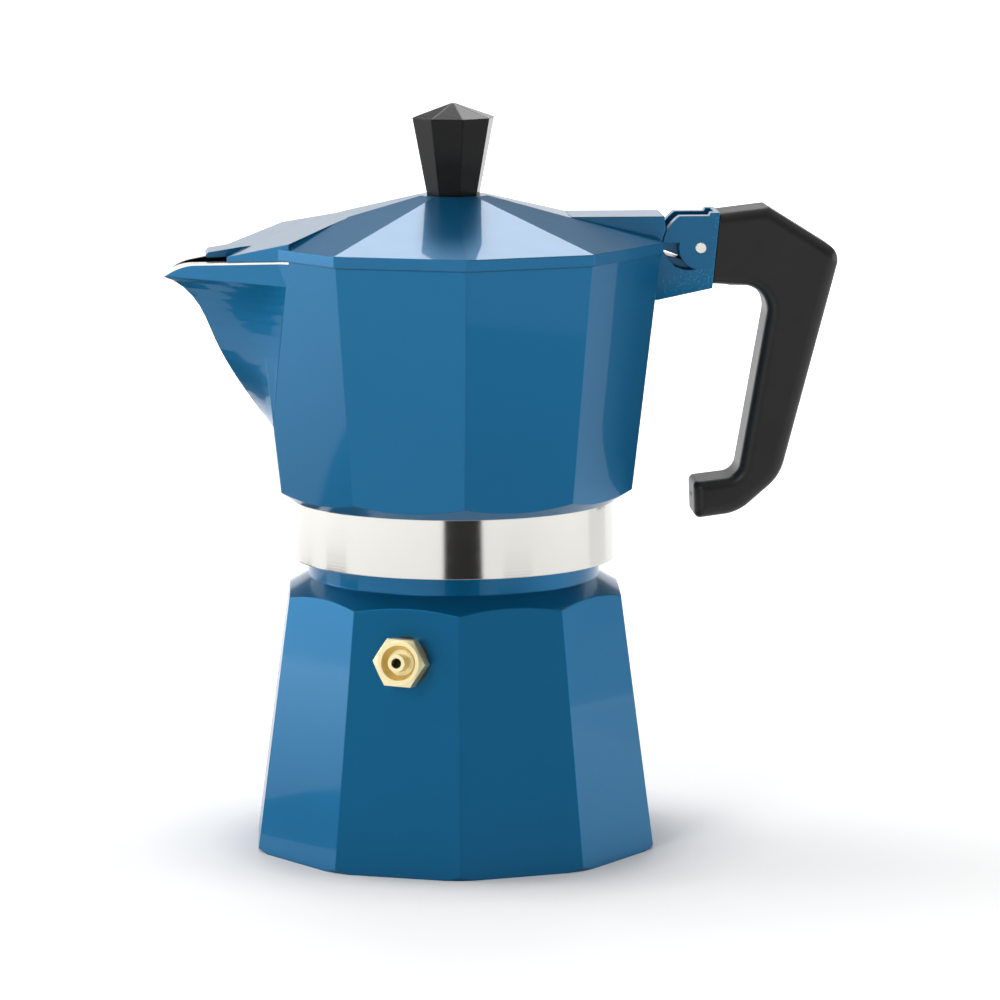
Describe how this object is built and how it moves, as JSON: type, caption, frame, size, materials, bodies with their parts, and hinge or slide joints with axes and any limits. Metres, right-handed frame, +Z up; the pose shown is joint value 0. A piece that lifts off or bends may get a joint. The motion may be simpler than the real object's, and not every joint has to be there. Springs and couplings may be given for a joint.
{
  "type": "stovetop moka pot",
  "caption": "Ten-sided aluminium stovetop coffee maker that screws together in two halves, with a hinged lid, pouring spout, safety valve and side handle.",
  "frame": {"origin": "centre of the boiler's flat resting face, on the pot's vertical axis", "axes": "+Z up along the pot's axis, +X from the axis towards the handle, -X towards the spout, +Y across"},
  "size_m": [0.1752, 0.1118, 0.1938],
  "materials": {
    "painted_body": "gloss blue enamel over cast aluminium; the threaded skirt and the spout's rim are bare polished metal",
    "bare_aluminium": "spun, satin",
    "valve_brass": "turned",
    "valve_fibre": "pressed fibre",
    "seal_rubber": "matt silicone",
    "spring_steel": "drawn wire",
    "screw_steel": "zinc plated",
    "pin_steel": "bright",
    "knob_plastic": "gloss black moulded",
    "handle_plastic": "satin black moulded"
  },
  "bodies": {
    "boiler": {"boiler": "painted_body", "safety_valve_body": "valve_brass", "safety_valve_washer": "valve_fibre", "safety_valve_retainer": "valve_brass", "safety_valve_spring": "spring_steel", "funnel": "bare_aluminium", "funnel_sieve": "bare_aluminium"},
    "valve_plunger": {"safety_valve_plunger": "valve_brass", "safety_valve_seal": "seal_rubber"},
    "seal_stack": {"gasket": "seal_rubber", "filter_plate": "bare_aluminium"},
    "collector": {"collector": "painted_body", "handle": "handle_plastic", "handle_screw": "screw_steel", "handle_washer": "screw_steel", "hinge_pin": "pin_steel"},
    "lid": {"lid": "painted_body", "lid_knob": "knob_plastic", "knob_screw": "screw_steel", "knob_washer": "screw_steel"}
  },
  "joints": [
    {"name": "collector_rise", "type": "slide", "parent": "boiler", "child": "seal_stack", "axis": [0, 0, 1], "range_m": [0, 0.0061]},
    {"name": "collector_screw", "type": "hinge", "parent": "seal_stack", "child": "collector", "pos_m": [0, 0, 0.0758], "axis": [0, 0, 1], "range_deg": [0, 720]},
    {"name": "lid_hinge", "type": "hinge", "parent": "collector", "child": "lid", "pos_m": [0.06369, 0, 0.15657], "axis": [0, 1, 0], "range_deg": [0, 90]},
    {"name": "valve_lift", "type": "slide", "parent": "boiler", "child": "valve_plunger", "axis": [-0.3347, -0.9337, 0.1271], "range_m": [0, 0.0012], "stiffness_N_per_m": 900, "springref_m": -0.002, "deforming": ["safety_valve_spring"]}
  ],
  "couplings": [
    {"joint": "collector_rise", "follows": "collector_screw", "m_per_rad": 0.00047746}
  ]
}
